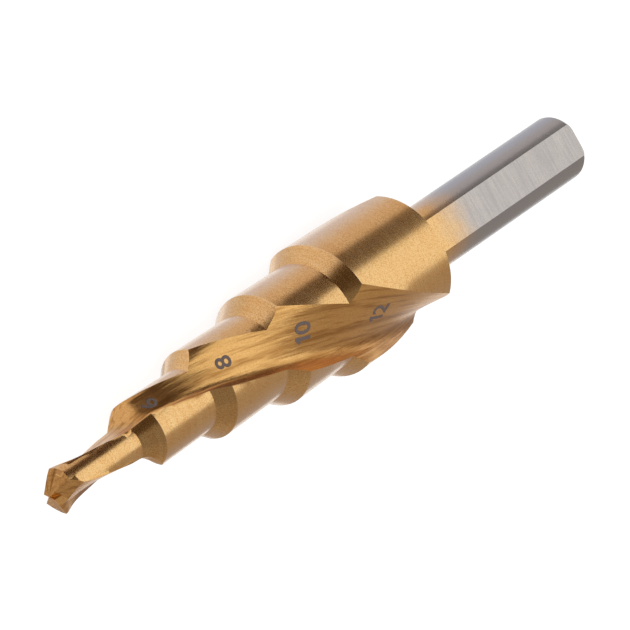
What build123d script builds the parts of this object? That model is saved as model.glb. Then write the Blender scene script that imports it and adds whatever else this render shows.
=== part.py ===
from build123d import *
import math
import os

# A two-flute step drill, ground from one bar. Millimetres.
# It is shaped upright, with its axis on Z and its tip at Z 0, and laid on its side at the end.
# Angles run anticlockwise about the axis, looking from the shank to the tip.

# Cylindrical lands
pilot_diameter = 4.0
pilot_length = 9.6
step_diameters = (6.0, 8.0, 10.0, 12.0)
cone_lengths = (1.7, 1.45, 1.75, 1.35)
land_lengths = (6.5, 6.75, 6.5, 10.55)
back_taper = 0.9                 # degrees, so that a land doesn't rub behind its front corner
back_chamfer = 0.45

# Shank for a drill chuck
shank_diameter = 6.0
shank_length = 23.7
shank_end_radius = 0.35
flat_count = 3
flat_to_axis = 2.57
flat_angle = 7.4                 # where the middle of the first flat lies

# Flutes
flute_count = 2
helix_lead = 98.0
wall_start_angle = -48.2         # direction of the cutting wall at the tip
rake_offset = 0.6                # how far the cutting wall stands ahead of the axis, along the steps
core_at_tip = 0.97               # distance from the axis to the flute's back wall
core_growth = 0.0805             # what that distance gains over each millimetre of length
trough_share = 0.29              # trough radius as a share of the core
heel_angle = 117.0               # between the cutting wall and the back wall
heel_start_share = 1.4           # where the back wall starts to round over, as a share of the core
heel_round_share = 0.76          # radius of that rounding as a share of the core
heel_turn = 25.0

# Along the pilot the cutting wall stands closer to the axis and the flutes open wider
pilot_rake_offset = 0.31
pilot_heel_angle = 146.0
pilot_heel_turn = 3.0
offset_change = (9.0, 12.0)      # heights between which the pilot's values give way
widening = (9.9, 12.0)

# Drill point
point_angle = 118.0
lip_relief = 10.0
lip_angle = -57.0                # direction of the first lip
lip_offset = 0.52                # how far the lips stand ahead of the axis
flute_curl = 14.0                # how far the cutting walls turn back at the tip
curl_end = 3.8                   # height at which the cutting walls follow the helix again
gash_slope = 60.0                # of the notch that bares the inner end of a lip
gash_direction = 121.0           # the way it climbs, from the lip

# How the drill comes to rest on a table: over a flute, on three points of its two largest steps
resting_angle = -128.7           # the side of the drill that faces down
resting_tilt = 3.02              # how far the tip dips

section_spacing = 1.6
past_body = 2.0                  # how far a cutting tool runs past what it cuts

pilot_radius = pilot_diameter / 2
step_radii = [d / 2 for d in step_diameters]
largest_radius = max(step_radii)
taper = math.tan(math.radians(back_taper))
body_length = pilot_length + sum(cone_lengths) + sum(land_lengths) + back_chamfer
total_length = body_length + shank_length


def polar(start, angle, distance):
    """The point at a distance from another one, in a direction in degrees."""
    a = math.radians(angle)
    return (start[0] + distance * math.cos(a), start[1] + distance * math.sin(a))


def smooth_fall(z, start, end):
    """1 before start, 0 after end, and a smooth curve between them."""
    t = min(max((z - start) / (end - start), 0.0), 1.0)
    return 1.0 - t * t * (3.0 - 2.0 * t)


def turned_blank():
    """The bar after turning: pilot, cones, tapered lands and shank."""
    z = pilot_length
    outline = [(0, -past_body), (pilot_radius, -past_body), (pilot_radius, 0)]
    outline.append((pilot_radius - taper * pilot_length, z))
    for radius, cone, land in zip(step_radii, cone_lengths, land_lengths):
        z += cone
        outline.append((radius, z))
        z += land
        outline.append((radius - taper * land, z))
    outline.append((outline[-1][0] - back_chamfer, body_length))
    shank_radius = shank_diameter / 2
    round_start = (shank_radius, total_length - shank_end_radius)
    round_end = (shank_radius - shank_end_radius, total_length)
    outline += [(shank_radius, body_length), round_start]
    edges = [
        Polyline(*outline),
        RadiusArc(round_start, round_end, -shank_end_radius),
        Polyline(round_end, (0, total_length), outline[0]),
    ]
    return revolve(Plane.XZ * make_face(edges), Axis.Z)


def offset_at(z):
    """How far the cutting wall stands ahead of the axis at a height."""
    lip = smooth_fall(z, 0.0, curl_end)
    steps = 1.0 - smooth_fall(z, *offset_change)
    extra = (lip_offset - pilot_rake_offset) * lip + (rake_offset - pilot_rake_offset) * steps
    return pilot_rake_offset + extra


def flute_section(z):
    """The outline of a flute at one height, with its cutting wall along the local X axis."""
    core = core_at_tip + core_growth * z
    offset = offset_at(z)
    pilot = smooth_fall(z, *widening)
    opening = heel_angle + (pilot_heel_angle - heel_angle) * pilot
    turn = heel_turn + (pilot_heel_turn - heel_turn) * pilot
    trough = trough_share * core

    # the corner where the two walls would meet without the trough's radius
    across = math.sin(math.radians(heel_angle))
    along = -math.cos(math.radians(heel_angle))
    corner = ((core - offset * along) / across, -offset)

    half = math.radians(opening / 2)
    wall_end = polar(corner, 0, trough / math.tan(half))
    back_start = polar(corner, -opening, trough / math.tan(half))
    trough_low = polar(corner, -opening / 2, trough / math.sin(half) - trough)

    heel_start = polar(corner, -opening, heel_start_share * core - offset)
    heel_radius = heel_round_share * core
    chord = 2 * heel_radius * math.sin(math.radians(turn / 2))
    half_chord = 2 * heel_radius * math.sin(math.radians(turn / 4))
    heel_middle = polar(heel_start, -opening - turn / 4, half_chord)
    heel_end = polar(heel_start, -opening - turn / 2, chord)

    outside = largest_radius + past_body
    far_wall = (outside, -offset)
    far_heel = polar(heel_end, -opening - turn, largest_radius)
    far_corner = (-1.2 * outside, -2.0 * outside)
    near_corner = (1.2 * outside, -2.0 * outside)
    edges = [
        Line(far_wall, wall_end),
        ThreePointArc(wall_end, trough_low, back_start),
        Line(back_start, heel_start),
        ThreePointArc(heel_start, heel_middle, heel_end),
        Line(heel_end, far_heel),
        Line(far_heel, far_corner),
        Line(far_corner, near_corner),
        Line(near_corner, far_wall),
    ]
    turned = wall_start_angle + 360.0 * z / helix_lead - flute_curl * smooth_fall(z, 0.0, curl_end)
    return Wire(edges).moved(Location((0, 0, z), (0, 0, turned)))


def flute():
    """One flute: its section swept up the drill, turning with the helix and growing with the core."""
    start = -past_body / 2
    end = body_length + past_body
    count = math.ceil((end - start) / section_spacing)
    heights = [start + (end - start) * i / count for i in range(count + 1)]
    return Solid.make_loft([flute_section(z) for z in heights])


def half_space(point, normal):
    """A block large enough to act as everything on the normal's side of a plane."""
    size = 10 * pilot_diameter
    return Plane(origin=point, z_dir=normal) * Box(size, size, size, align=(Align.CENTER, Align.CENTER, Align.MIN))


def point_cuts():
    """What grinding the point takes away for one lip: its flank, and the gash that bares the other lip."""
    lip = Plane(origin=(0, 0, 0), x_dir=polar((0, 0), lip_angle, 1) + (0,), z_dir=(0, 0, 1))
    outward = 1 / math.tan(math.radians(point_angle / 2))
    behind = math.tan(math.radians(lip_relief))
    flank = half_space((0, 0, behind * lip_offset), (outward, behind, -1))

    climb = math.tan(math.radians(gash_slope))
    up = polar((0, 0), gash_direction, climb)
    gash = half_space((0, 0, behind * lip_offset), (up[0], up[1], -1))
    behind_chisel = gash & half_space((0, 0, 0), (outward, behind, 0))
    ahead_of_other_lip = gash & half_space((0, lip_offset, 0), (0, 1, 0))
    return [lip * cut for cut in (flank, behind_chisel, ahead_of_other_lip)]


def shank_flats():
    """The blocks that are milled off the shank, one for each chuck jaw."""
    depth = shank_diameter
    block = Box(depth, 2 * depth, shank_length + past_body, align=(Align.MIN, Align.CENTER, Align.MIN))
    block = Pos(flat_to_axis, 0, body_length) * block
    return [Rot(0, 0, flat_angle + 360.0 * i / flat_count) * block for i in range(flat_count)]


def drill():
    body = turned_blank()
    cuts = [flute()] + point_cuts()
    for i in range(flute_count):
        turn = Rot(0, 0, 360.0 * i / flute_count)
        for cut in cuts:
            body -= turn * cut
    for block in shank_flats():
        body -= block
    return body


def lay_down(shape):
    """Lay the drill along X as it comes to rest, its tip towards -X, on Z 0 and centred over the origin."""
    shape = Rot(0, 0, -resting_angle) * shape
    shape = Rot(0, 90 - resting_tilt, 0) * shape
    box = shape.bounding_box()
    middle = box.center()
    return Pos(-middle.X, -middle.Y, -box.min.Z) * shape


os.makedirs("parts", exist_ok=True)
part = lay_down(drill())
export_step(part, "parts/step_drill.step")
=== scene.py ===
"""Studio scene for the step drill: its metals, its size marks, soft light and the camera.

Sizes are in mm and angles in degrees, except where a name or comment says otherwise.
"""

import math

import bmesh
import bpy
from mathutils import Matrix, Vector
from mathutils.bvhtree import BVHTree


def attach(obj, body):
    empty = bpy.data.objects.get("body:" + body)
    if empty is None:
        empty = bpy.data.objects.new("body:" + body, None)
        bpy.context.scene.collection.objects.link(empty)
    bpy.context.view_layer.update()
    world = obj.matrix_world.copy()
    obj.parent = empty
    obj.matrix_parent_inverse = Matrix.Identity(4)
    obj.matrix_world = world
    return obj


MM = 0.001

# Where the drill lies, in metres and radians: its tip on its axis, and how far it leans about Y from upright
TIP = Vector((-35.203, 0.0, 3.531)) * MM
LEAN = math.radians(86.98)
AXIS = Vector((math.sin(LEAN), 0.0, math.cos(LEAN)))
TURN = 128.7                           # how far the drill is turned about its axis

# The drill's own sizes, by distance from the tip: where its cones start and end, and where its body does
PILOT_RADIUS = 2.0
CONES = ((9.6, 11.3), (17.8, 19.25), (26.0, 27.75), (34.25, 35.6))
BACK_EDGE = 46.15
BODY_LENGTH = 46.6
HELIX_LEAD = 98.0
STEP_EDGES = tuple(end for start, end in CONES) + (BACK_EDGE,)

# How turned surfaces are told from ground ones: limits between which one gives way to the other
FACING_OUT = (0.05, 0.13)              # sine of the angle between the normal and the way out from the axis
BELOW_SKIN = (-0.45, -0.35)            # distance outside the blank's radius
ROUND_SHANK = (2.7, 2.8)               # distance from the axis, along the shank
BODY_END = (BODY_LENGTH - 0.05, BODY_LENGTH + 0.05)

# The coating, with its deeper shade, its rough valleys and burnt streaks, its flute lines darkened by burning
# and painted shade, its step edges paled by wear and a painted highlight, and a painted sheen where it is
# seen at a shallow angle
GOLD = (0.97, 0.67, 0.32)
GOLD_FLUTE = (0.93, 0.57, 0.21)
GOLD_DEEP = (0.81, 0.45, 0.155)
GOLD_RICH = (0.66, 0.29, 0.07)
# the darkest gold: burnt coating, and painted shade along dark lines in the flutes
GOLD_BURNT_AND_SHADE = (0.34, 0.145, 0.035)
# a paler gold at the step edges: partly wear, partly a painted highlight
GOLD_EDGE_HIGHLIGHT_AND_WEAR = (0.93, 0.70, 0.44)
# a painted sheen: the pale colour the coating takes where it is seen at a shallow angle
GOLD_PAINTED_SHEEN = (0.93, 0.84, 0.80)
RICH_SHARE = 0.6
BURNT_STREAKS = (0.47, 0.66, 0.7)      # from and to which height of the streaks, and how strongly
FINE_IN_BURNT_AND_SHADE = (0.35, 0.6, 0.6, 1.0)  # heights of the fine streaks, and the shares they leave
EDGE_HIGHLIGHT_AND_WEAR = (0.02, 0.07, 0.35)         # painted edge highlight with wear: from and to which distance from an edge, and how strongly
PAINTED_SHEEN_SLANT = (0.4, 0.95, 0.55)            # painted sheen: from and to which slant of the view, and how strongly
# how much of the painted sheen the flutes keep
PAINTED_SHEEN_IN_FLUTES = 0.3

# Lines along the flutes where the coating is darkened, partly burnt and partly painted shade where the flutes
# reflect dark; the third one paints out a pale reflection near the end of the flutes. Angle at the tip, half
# width, how strongly, and from which distance along the drill
SHADE_AND_BURNT_LINES = ((95.0, 8.0, 0.8, 0.0), (121.5, 8.0, 1.0, 0.0), (126.0, 13.0, 0.95, 39.0))
SHADE_LINE_START = 3.0                 # over which distance a dark line comes in

# The bare steel of the flats, with its deeper shade, and of the round of the shank
STEEL = (0.64, 0.575, 0.53)
STEEL_DARK = (0.42, 0.39, 0.375)
STEEL_TURNED = (0.475, 0.475, 0.485)
DARK_IN_VALLEYS = 0.3
COATING_FADE = (49.2, 55.2)            # the coating thins out between these distances from the tip
FADE_RAGGED = 3.0                      # over how much the noise moves its end

GOLD_ROUGHNESS = 0.22
STEEL_ROUGHNESS = 0.28
FLUTE_ROUGHNESS = 0.32
VALLEY_ROUGHNESS = 0.31
ROUGHNESS_CHANGE = 0.08

# Patterns, as how often they change per mm: across and along the drill for lines, all round for the others
RINGS = (0.25, 7.0)
FINE_STREAKS = (7.0, 0.35)
BROAD_STREAKS = (2.3, 0.07)
GRAIN = 11.0
CLOUD = 0.35
FADE_NOISE = 0.4
ROUGHNESS_NOISE = 1.4
VALLEY = (0.46, 0.62)                  # heights of the grain between which peaks give way to valleys
MARKS_RANGE = (0.3, 0.7)               # heights of the grinding marks between which the coating deepens
MARKS_SHARE = 0.4
CLOUD_SHARE = 0.5

# How far the patterns stand out
RING_HEIGHT = 0.003
FLAT_LINE_HEIGHT = 0.014
FINE_STREAK_HEIGHT = 0.010
BROAD_STREAK_HEIGHT = 0.045
GRAIN_HEIGHT = 0.0016

# Size marks: text, distance from the tip, angle about the axis, height of a digit
MARKS = (
    ("6", 12.95, -48.4, 1.55),
    ("8", 20.95, -20.6, 1.6),
    ("10", 29.3, 10.5, 1.7),
    ("12", 37.9, 41.2, 1.7),
)
MARK_COLOR = (0.08, 0.057, 0.05)
MARK_LIGHTER = 2.2                     # times as bright, where the speckle is lightest
MARK_SPECKLE = 6000.0                  # per metre
SPECKLE_RANGE = (0.2, 0.8)
MARK_ROUGHNESS = (0.5, 0.75)
MARK_BUMP = 0.004
MARK_BUMP_STRENGTH = 0.4
MARK_GRID = 0.12                       # how finely a mark is cut up to follow the flute
MARK_PROUD = 0.012
MARK_DEPTH = 0.03
STROKE_OFFSET = 0.018                  # how much bolder than the plain letters, as a share of their size

# The outline of a 1 with its flag, and the space it takes, as shares of its height
ONE = ((0.17, 0.0), (0.35, 0.0), (0.35, 1.0), (0.2, 1.0), (0.0, 0.78), (0.09, 0.65), (0.17, 0.73))
ONE_SPACE = 0.47

# Rays that find the flute's wall: from which distance from the axis, and from how far above the wall
RAY_START = 9.0
RAY_LIFT = 3.0

# Cards round the drill for its reflections: angles about its axis, colour, and reach along it in metres
CARDS = (
    ("window", -20, 46, (1.0, 1.02, 1.03), -0.03, 1.4),
    ("low_edge", -142, -100, (0.71, 0.7, 0.76), 0.0, 1.4),
    ("low_front", -100, -62, (0.71, 0.63, 0.6), 0.0, 1.4),
    ("low_back", -142, -45, (0.84, 0.79, 0.82), -0.35, 0.0),
    ("low_end", -142, -45, (0.5, 0.41, 0.37), -0.8, -0.35),
    ("dark_front", -62, -20, (0.05, 0.02, 0.008), -0.03, 0.56),
    ("dark_far", -62, -20, (0.6, 0.6, 0.6), 0.56, 1.4),
    ("dark_back", -45, 0, (0.07, 0.045, 0.025), -0.8, -0.03),
    ("side_back", 0, 60, (0.24, 0.21, 0.18), -0.8, -0.03),
    ("top_front", 46, 146, (0.4, 0.35, 0.315), -0.03, 1.4),
    ("top_back", 60, 158, (0.3, 0.25, 0.21), -0.8, -0.03),
    ("behind", 146, 205, (0.42, 0.34, 0.27), -0.03, 0.25),
)
CARD_RADIUS = 0.45                     # metres
CARD_STEP = 5                          # degrees from one flat strip of a card to the next
TIP_CARD_X = -0.8                      # metres
TIP_CARD_HALF = 0.5                    # metres
TIP_CARD_COLOR = (0.4, 0.4, 0.4)

# Light, in metres and watts
AMBIENT = 0.8
KEY_PLACE = (-0.3, 0.5, 0.6)
KEY_SIZE = 0.5
KEY_POWER = 2.0
FLOOR_SIZE = 6.0
FLOOR_COLOR = (0.25, 0.25, 0.25)
FLOOR_GLOW = 0.88

# The photo's camera, with its place in mm
CAMERA_PLACE = (-317.34, 253.84, 193.35)
CAMERA_TURN = (-41.839, -55.681, 8.617)
CAMERA_LENS = 308.08
CAMERA_SENSOR = 36.0
CAMERA_REACH = (0.01, 10.0)            # metres


def at_angle(z, angle, radius):
    """A point in metres, from its distance along the axis, its angle about it and its distance from it."""
    a = math.radians(angle + TURN)
    local = Vector((radius * math.cos(a), radius * math.sin(a), z)) * MM
    return Matrix.Rotation(LEAN, 3, "Y") @ local + TIP


def new_material(name):
    """A material with nodes, its node tree and its Principled shader."""
    material = bpy.data.materials.new(name)
    material.use_nodes = True
    tree = material.node_tree
    return material, tree, tree.nodes["Principled BSDF"]


def new_object(name, data):
    """An object in the scene."""
    made = bpy.data.objects.new(name, data)
    bpy.context.scene.collection.objects.link(made)
    return made


def node(tree, kind, inputs=(), **settings):
    """A node with its settings, and its inputs linked to sockets or set to values."""
    made = tree.nodes.new(kind)
    for key, value in settings.items():
        setattr(made, key, value)
    for key, value in dict(inputs).items():
        if isinstance(value, bpy.types.NodeSocket):
            tree.links.new(value, made.inputs[key])
        else:
            made.inputs[key].default_value = value
    return made


def math_node(tree, operation, *values):
    return node(tree, "ShaderNodeMath", enumerate(values), operation=operation).outputs[0]


def vector_node(tree, operation, *values):
    made = node(tree, "ShaderNodeVectorMath", enumerate(values), operation=operation)
    return made.outputs["Value" if operation in ("DOT_PRODUCT", "LENGTH") else "Vector"]


def ramp(tree, value, low, high, to_low=0.0, to_high=1.0):
    """A smooth step of a value between two limits."""
    made = node(
        tree, "ShaderNodeMapRange",
        {"Value": value, "From Min": low, "From Max": high, "To Min": to_low, "To Max": to_high},
        interpolation_type="SMOOTHSTEP",
    )
    return made.outputs["Result"]


def mix(tree, share, first, second):
    """A mix of two numbers."""
    return node(tree, "ShaderNodeMix", {0: share, 2: first, 3: second}, data_type="FLOAT").outputs[0]


def mix_color(tree, share, first, second):
    """A mix of two colours."""
    colors = [c if isinstance(c, bpy.types.NodeSocket) else (*c, 1.0) for c in (first, second)]
    return node(tree, "ShaderNodeMix", {0: share, 6: colors[0], 7: colors[1]}, data_type="RGBA").outputs[2]


def noise(tree, vector, scale, detail=2.0, roughness=0.5):
    made = node(
        tree, "ShaderNodeTexNoise",
        {"Vector": vector, "Scale": scale, "Detail": detail, "Roughness": roughness},
    )
    return made.outputs["Fac"]


def lines(tree, vector, pattern, roughness=0.6):
    """Noise that is drawn out into lines, from how often it changes across and along the drill."""
    across, along = pattern
    stretched = vector_node(tree, "MULTIPLY", vector, (across, across, along))
    return noise(tree, stretched, 1.0, 3.0, roughness)


def line_normal(angle):
    """The direction across a line along the flutes, which starts at an angle at the tip."""
    a = math.radians(angle + TURN)
    return (-math.sin(a), math.cos(a), 0.0)


def surface_kinds(tree, place, z, from_axis):
    """Where the drill was turned, where it has its chuck flats, and where it has its flutes and point."""
    normal = node(tree, "ShaderNodeNewGeometry").outputs["Normal"]
    from_tip = vector_node(tree, "SUBTRACT", place, TIP)
    around = vector_node(tree, "NORMALIZE", vector_node(tree, "CROSS_PRODUCT", AXIS, from_tip))
    turned_away = math_node(tree, "ABSOLUTE", vector_node(tree, "DOT_PRODUCT", normal, around))
    facing_out = ramp(tree, turned_away, *FACING_OUT, 1.0, 0.0)

    # each cone adds 1 mm to the blank's radius
    radius = PILOT_RADIUS
    for start, end in CONES:
        wider = node(tree, "ShaderNodeMapRange", {"Value": z, "From Min": start, "From Max": end})
        radius = math_node(tree, "ADD", wider.outputs["Result"], radius)
    at_skin = ramp(tree, math_node(tree, "SUBTRACT", from_axis, radius), *BELOW_SKIN)

    on_shank = ramp(tree, z, *BODY_END)
    round_shank = math_node(tree, "MULTIPLY", on_shank, ramp(tree, from_axis, *ROUND_SHANK))
    turned = math_node(tree, "MULTIPLY", facing_out, math_node(tree, "MAXIMUM", at_skin, round_shank))
    not_turned = math_node(tree, "SUBTRACT", 1.0, turned)
    on_flat = math_node(tree, "MULTIPLY", not_turned, on_shank)
    fluted = math_node(tree, "SUBTRACT", not_turned, on_flat)
    return turned, on_flat, fluted


def burnt_and_shade_share(tree, unwound, z, from_axis, broad_streaks, fine_streaks):
    """How far the coating is darkened: heat-tinted in streaks, and along some lines of the flutes partly
    heat-tinted and partly painted shade.
    """
    low, high, strength = BURNT_STREAKS
    scorch_and_shade = ramp(tree, broad_streaks, low, high, 0.0, strength)
    # painted shade, partly burnt coating, along fixed lines of the flutes
    for angle, half_width, strength, start in SHADE_AND_BURNT_LINES:
        across = vector_node(tree, "DOT_PRODUCT", unwound, line_normal(angle))
        away = math_node(tree, "DIVIDE", math_node(tree, "ABSOLUTE", across), from_axis)
        near = ramp(tree, away, 0.0, math.sin(math.radians(half_width)), strength, 0.0)
        near = math_node(tree, "MULTIPLY", near, ramp(tree, z, start - SHADE_LINE_START, start))
        scorch_and_shade = math_node(tree, "MAXIMUM", near, scorch_and_shade)
    return math_node(tree, "MULTIPLY", scorch_and_shade, ramp(tree, fine_streaks, *FINE_IN_BURNT_AND_SHADE))


def edge_highlight_and_wear_share(tree, z):
    """How far the step edges are paled: partly wear of the coating, partly a painted highlight where the
    edges catch light.
    """
    near, far, strength = EDGE_HIGHLIGHT_AND_WEAR
    edge_paling = 0.0
    # a painted highlight, with some wear, near each step edge
    for edge in STEP_EDGES:
        away = math_node(tree, "ABSOLUTE", math_node(tree, "SUBTRACT", z, edge))
        edge_paling = math_node(tree, "MAXIMUM", ramp(tree, away, near, far, strength, 0.0), edge_paling)
    return edge_paling


def drill_metal():
    """Ground steel with a gold coating that fades out along the shank."""
    material, tree, shader = new_material("coated_ground_steel")
    place = node(tree, "ShaderNodeTexCoord").outputs["Object"]

    # the drill's own coordinates, upright with its tip at the origin, and turned back along the helix
    upright = node(
        tree, "ShaderNodeMapping",
        {"Vector": place, "Location": TIP, "Rotation": (0.0, LEAN, 0.0), "Scale": (MM, MM, MM)},
        vector_type="TEXTURE",
    ).outputs["Vector"]
    z = node(tree, "ShaderNodeSeparateXYZ", {"Vector": upright}).outputs["Z"]
    from_axis = vector_node(tree, "LENGTH", vector_node(tree, "MULTIPLY", upright, (1.0, 1.0, 0.0)))
    helix_angle = math_node(tree, "MULTIPLY", z, -2.0 * math.pi / HELIX_LEAD)
    unwound = node(
        tree, "ShaderNodeVectorRotate", {"Vector": upright, "Axis": (0.0, 0.0, 1.0), "Angle": helix_angle},
        rotation_type="AXIS_ANGLE",
    ).outputs["Vector"]
    turned, on_flat, fluted = surface_kinds(tree, place, z, from_axis)

    # grinding marks: rings on what was turned, lines across the flats, streaks along the flutes, a fine grain
    rings = lines(tree, upright, RINGS)
    fine_streaks = lines(tree, unwound, FINE_STREAKS)
    broad_streaks = lines(tree, unwound, BROAD_STREAKS, 0.55)
    grain = noise(tree, upright, GRAIN, 2.0, 0.6)
    ring_height = mix(tree, on_flat, mix(tree, fluted, RING_HEIGHT, 0.0), FLAT_LINE_HEIGHT)
    fine_height = math_node(tree, "MULTIPLY", fluted, FINE_STREAK_HEIGHT)
    broad_height = math_node(tree, "MULTIPLY", fluted, BROAD_STREAK_HEIGHT)
    height = math_node(tree, "MULTIPLY", rings, ring_height)
    height = math_node(tree, "MULTIPLY_ADD", fine_streaks, fine_height, height)
    height = math_node(tree, "MULTIPLY_ADD", broad_streaks, broad_height, height)
    height = math_node(tree, "MULTIPLY_ADD", grain, GRAIN_HEIGHT, height)
    bump = node(tree, "ShaderNodeBump", {"Strength": 1.0, "Distance": MM, "Height": height})
    tree.links.new(bump.outputs["Normal"], shader.inputs["Normal"])

    # the coating: broad shades, burnt streaks and darker lines (partly painted shade) in the flutes, richer
    # valleys, step edges paled by wear and a painted highlight, and a painted sheen that pales it where it is
    # seen at a shallow angle
    valley = ramp(tree, grain, *VALLEY)
    cloud = noise(tree, upright, CLOUD, 2.0)
    marks = ramp(tree, mix(tree, fluted, rings, fine_streaks), *MARKS_RANGE)
    cloud_shade = math_node(tree, "MULTIPLY", cloud, CLOUD_SHARE)
    shade = math_node(tree, "ADD", cloud_shade, math_node(tree, "MULTIPLY", marks, MARKS_SHARE))
    gold = mix_color(tree, shade, mix_color(tree, fluted, GOLD, GOLD_FLUTE), GOLD_DEEP)
    scorch_and_shade = burnt_and_shade_share(tree, unwound, z, from_axis, broad_streaks, fine_streaks)
    # darken the flutes with burnt coating and painted shade
    gold = mix_color(tree, math_node(tree, "MULTIPLY", scorch_and_shade, fluted), gold, GOLD_BURNT_AND_SHADE)
    gold = mix_color(tree, math_node(tree, "MULTIPLY", valley, RICH_SHARE), gold, GOLD_RICH)
    # pale the step edges: wear of the coating and a painted highlight
    gold = mix_color(tree, math_node(tree, "MULTIPLY", edge_highlight_and_wear_share(tree, z), turned), gold, GOLD_EDGE_HIGHLIGHT_AND_WEAR)
    # painted sheen: the coating is paler where the surface is seen at a shallow angle, less so in the flutes
    low, high, strength = PAINTED_SHEEN_SLANT
    slant = node(tree, "ShaderNodeLayerWeight", {"Blend": 0.5}).outputs["Facing"]
    pale = ramp(tree, slant, low, high, 0.0, strength)
    pale = math_node(tree, "MULTIPLY", pale, mix(tree, fluted, 1.0, PAINTED_SHEEN_IN_FLUTES))
    gold = mix_color(tree, pale, gold, GOLD_PAINTED_SHEEN)

    # the steel, which is bare past a ragged edge of the coating
    steel_shade = math_node(tree, "MULTIPLY_ADD", valley, DARK_IN_VALLEYS, shade)
    steel = mix_color(tree, on_flat, STEEL_TURNED, mix_color(tree, steel_shade, STEEL, STEEL_DARK))
    nearer = math_node(tree, "SUBTRACT", z, FADE_RAGGED / 2)
    ragged = math_node(tree, "MULTIPLY_ADD", noise(tree, upright, FADE_NOISE, 2.0), FADE_RAGGED, nearer)
    bare = ramp(tree, ragged, *COATING_FADE)
    tree.links.new(mix_color(tree, bare, gold, steel), shader.inputs["Base Color"])

    peak = mix(tree, fluted, mix(tree, bare, GOLD_ROUGHNESS, STEEL_ROUGHNESS), FLUTE_ROUGHNESS)
    lowest = math_node(tree, "SUBTRACT", peak, ROUGHNESS_CHANGE / 2)
    uneven = noise(tree, upright, ROUGHNESS_NOISE, 3.0)
    peak = math_node(tree, "MULTIPLY_ADD", uneven, ROUGHNESS_CHANGE, lowest)
    tree.links.new(mix(tree, valley, peak, VALLEY_ROUGHNESS), shader.inputs["Roughness"])
    shader.inputs["Metallic"].default_value = 1.0
    return material


def mark_ink():
    """Laser marking: dark, matt, a little uneven."""
    material, tree, shader = new_material("laser_mark")
    place = node(tree, "ShaderNodeTexCoord").outputs["Object"]
    speckle = noise(tree, place, MARK_SPECKLE, 2.0)
    lighter = tuple(MARK_LIGHTER * c for c in MARK_COLOR)
    tree.links.new(mix_color(tree, speckle, MARK_COLOR, lighter), shader.inputs["Base Color"])
    tree.links.new(ramp(tree, speckle, *SPECKLE_RANGE, *MARK_ROUGHNESS), shader.inputs["Roughness"])
    bump_inputs = {"Strength": MARK_BUMP_STRENGTH, "Distance": MARK_BUMP * MM, "Height": speckle}
    bump = node(tree, "ShaderNodeBump", bump_inputs)
    tree.links.new(bump.outputs["Normal"], shader.inputs["Normal"])
    return material


def box_of(bm):
    """The two corners of a mesh's box."""
    low = Vector(min(v.co[i] for v in bm.verts) for i in range(3))
    high = Vector(max(v.co[i] for v in bm.verts) for i in range(3))
    return low, high


def letters(text):
    """A flat mesh of a text in the plain letters that Blender brings."""
    curve = bpy.data.curves.new("mark_text", "FONT")
    curve.body = text
    curve.resolution_u = 6
    curve.offset = STROKE_OFFSET
    curve.align_x, curve.align_y = "CENTER", "CENTER"
    helper = new_object("mark_text", curve)
    bpy.context.view_layer.update()
    mesh = bpy.data.meshes.new_from_object(helper.evaluated_get(bpy.context.evaluated_depsgraph_get()))
    bpy.data.objects.remove(helper)
    bpy.data.curves.remove(curve)

    bm = bmesh.new()
    bm.from_mesh(mesh)
    bpy.data.meshes.remove(mesh)
    bmesh.ops.remove_doubles(bm, verts=bm.verts, dist=1e-5)
    return bm


def flat_text(text, height):
    """A flat, finely divided mesh of a number, centred on the origin. A 1 in front has its own outline."""
    bm = letters(text.lstrip("1"))
    low, high = box_of(bm)
    for v in bm.verts:
        v.co = (v.co - low) * (height / (high.y - low.y))
    if text.startswith("1"):
        one = bm.faces.new([bm.verts.new((height * (x - ONE_SPACE), height * y, 0.0)) for x, y in ONE])
        one.normal_update()
        bmesh.ops.triangulate(bm, faces=[one])

    low, high = box_of(bm)
    reach = (high - low) / 2
    for v in bm.verts:
        v.co -= low + reach
    for axis, normal in ((0, (1, 0, 0)), (1, (0, 1, 0))):
        steps = int(2 * reach[axis] / MARK_GRID)
        for i in range(1, steps + 1):
            cut = Vector(normal) * (-reach[axis] + i * MARK_GRID)
            geometry = bm.verts[:] + bm.edges[:] + bm.faces[:]
            bmesh.ops.bisect_plane(bm, geom=geometry, plane_co=cut, plane_no=normal)
    bmesh.ops.triangulate(bm, faces=bm.faces)
    return bm


def close_shell(bm, lower):
    """Close a sheet to a thin shell, from where each of its points has its partner below."""
    border = [e for e in bm.edges if len(e.link_faces) == 1]
    copies = {v: bm.verts.new(place) for v, place in lower.items()}
    for face in list(bm.faces):
        bm.faces.new([copies[v] for v in reversed(face.verts)])
    for edge in border:
        a, b = edge.verts
        order = list(edge.link_faces[0].verts)
        if order[(order.index(a) + 1) % len(order)] is not b:
            a, b = b, a
        bm.faces.new((b, a, copies[a], copies[b]))
    bmesh.ops.recalc_face_normals(bm, faces=bm.faces)


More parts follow.
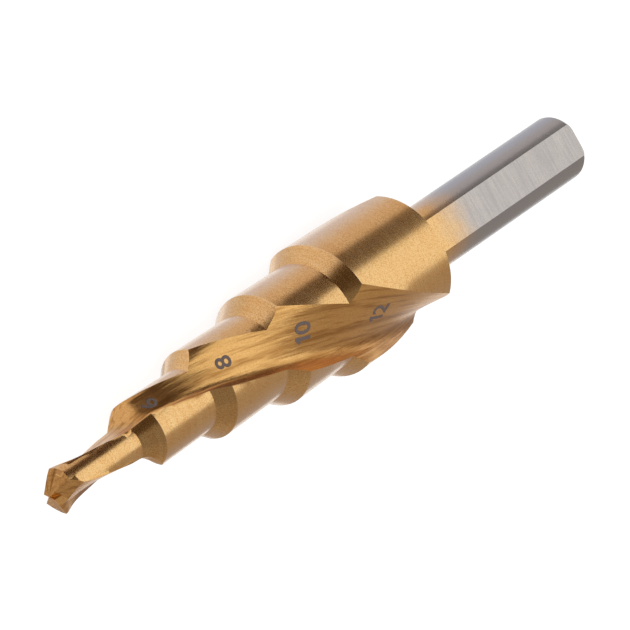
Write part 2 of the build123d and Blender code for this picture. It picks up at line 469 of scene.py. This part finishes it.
def size_mark(name, surface, text, z, angle, height, ink):
    """A number that lies on the flute's back wall, its top towards the tip."""
    outside = at_angle(z, angle, RAY_START)
    on_axis = at_angle(z, angle, 0.0)
    inward = (on_axis - outside).normalized()
    centre, normal, _, _ = surface.ray_cast(outside, inward)
    helix = 2 * math.pi * (centre - on_axis).length / (HELIX_LEAD * MM)
    along = (AXIS + helix * AXIS.cross(-inward)).normalized()
    up = -(along - along.dot(normal) * normal).normalized()
    right = up.cross(normal)

    bm = flat_text(text, height)
    lower = {}
    for v in list(bm.verts):
        start = centre + (right * v.co.x + up * v.co.y) * MM + normal * RAY_LIFT * MM
        hit, hit_normal, _, _ = surface.ray_cast(start, -normal)
        lower[v] = hit - hit_normal * MARK_DEPTH * MM
        v.co = hit + hit_normal * MARK_PROUD * MM
    close_shell(bm, lower)
    mesh = bpy.data.meshes.new(name)
    bm.to_mesh(mesh)
    bm.free()
    mesh.materials.append(ink)
    mark = new_object(name, mesh)
    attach(mark, "root")


def seen_or_reflected(tree):
    """1 for rays of the camera, of reflections and through glass, and 0 for the rays that light the scene."""
    path = node(tree, "ShaderNodeLightPath")
    found = path.outputs["Is Camera Ray"]
    for name in ("Is Glossy Ray", "Is Transmission Ray"):
        found = math_node(tree, "MAXIMUM", found, path.outputs[name])
    return found


def stage_floor():
    """A pale floor that shows white where nothing shades it."""
    material, tree, shader = new_material("floor")
    shader.inputs["Base Color"].default_value = (*FLOOR_COLOR, 1.0)
    shader.inputs["Roughness"].default_value = 0.9
    shader.inputs["Specular IOR Level"].default_value = 0.0
    shader.inputs["Emission Color"].default_value = (1.0, 1.0, 1.0, 1.0)
    glow = math_node(tree, "MULTIPLY", seen_or_reflected(tree), FLOOR_GLOW)
    tree.links.new(glow, shader.inputs["Emission Strength"])
    bpy.ops.mesh.primitive_plane_add(size=FLOOR_SIZE, location=(0.0, 0.0, 0.0))
    floor = bpy.context.object
    floor.name = "floor"
    floor.data.materials.append(material)
    floor.visible_glossy = False


def white_world():
    """A world that is white to the camera and in reflections, and lights the scene a little less brightly."""
    world = bpy.data.worlds.new("studio")
    bpy.context.scene.world = world
    world.use_nodes = True
    tree = world.node_tree
    background = tree.nodes["Background"]
    background.inputs["Color"].default_value = (1.0, 1.0, 1.0, 1.0)
    tree.links.new(mix(tree, seen_or_reflected(tree), AMBIENT, 1.0), background.inputs["Strength"])


def card(name, points, faces, color):
    """A glowing card that is seen only in reflections."""
    material = bpy.data.materials.new(name)
    material.use_nodes = True
    tree = material.node_tree
    tree.nodes.remove(tree.nodes["Principled BSDF"])
    glow = node(tree, "ShaderNodeEmission", {"Color": (*color, 1.0), "Strength": 1.0})
    tree.links.new(glow.outputs[0], tree.nodes["Material Output"].inputs["Surface"])
    mesh = bpy.data.meshes.new(name)
    mesh.from_pydata(points, [], faces)
    mesh.materials.append(material)
    made = new_object(name, mesh)
    made.visible_camera = made.visible_diffuse = made.visible_shadow = made.visible_transmission = False


def curved_card(name, start, end, color, back, front):
    """A card along the drill, curved round it from one angle about its axis to another."""
    steps = max(2, round((end - start) / CARD_STEP))
    angles = [start + (end - start) * i / steps for i in range(steps + 1)]
    points = [at_angle(x / MM, a, CARD_RADIUS / MM) for a in angles for x in (back, front)]
    faces = [(2 * i, 2 * i + 1, 2 * i + 3, 2 * i + 2) for i in range(steps)]
    card(name, points, faces, color)


def tip_card():
    """A square card across the drill, ahead of its tip."""
    half = TIP_CARD_HALF
    corners = ((-half, -half), (half, -half), (half, half), (-half, half))
    card("tip_card", [(TIP_CARD_X, y, z) for y, z in corners], [(0, 1, 2, 3)], TIP_CARD_COLOR)


def softbox():
    """A soft light that isn't seen in reflections."""
    light = bpy.data.lights.new("key", "AREA")
    light.shape = "RECTANGLE"
    light.size = light.size_y = KEY_SIZE
    light.energy = KEY_POWER
    lamp = new_object("key", light)
    lamp.location = KEY_PLACE
    lamp.rotation_euler = (-Vector(KEY_PLACE)).to_track_quat("-Z", "Y").to_euler()
    lamp.visible_camera = False
    lamp.visible_glossy = False


def photo_camera():
    data = bpy.data.cameras.new("camera")
    data.lens = CAMERA_LENS
    data.sensor_width = CAMERA_SENSOR
    data.clip_start, data.clip_end = CAMERA_REACH
    camera = new_object("camera", data)
    camera.location = Vector(CAMERA_PLACE) * MM
    camera.rotation_euler = [math.radians(a) for a in CAMERA_TURN]
    bpy.context.scene.camera = camera


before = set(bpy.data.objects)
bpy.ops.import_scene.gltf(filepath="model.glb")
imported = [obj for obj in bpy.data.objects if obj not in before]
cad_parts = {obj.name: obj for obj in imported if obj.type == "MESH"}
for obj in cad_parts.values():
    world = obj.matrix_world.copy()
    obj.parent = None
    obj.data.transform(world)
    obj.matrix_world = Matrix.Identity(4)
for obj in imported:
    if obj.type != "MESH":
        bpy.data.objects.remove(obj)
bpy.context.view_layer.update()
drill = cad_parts["step_drill"]

drill.data.materials.clear()
drill.data.materials.append(drill_metal())

corners = [v.co for v in drill.data.vertices]
surface = BVHTree.FromPolygons(corners, [p.vertices for p in drill.data.polygons])
ink = mark_ink()
for text, z, angle, height in MARKS:
    size_mark(f"mark_{text}", surface, text, z, angle, height, ink)

photo_camera()
stage_floor()
white_world()
for name, start, end, color, back, front in CARDS:
    curved_card(name, start, end, color, back, front)
tip_card()
softbox()
bpy.context.scene.view_settings.view_transform = "Standard"
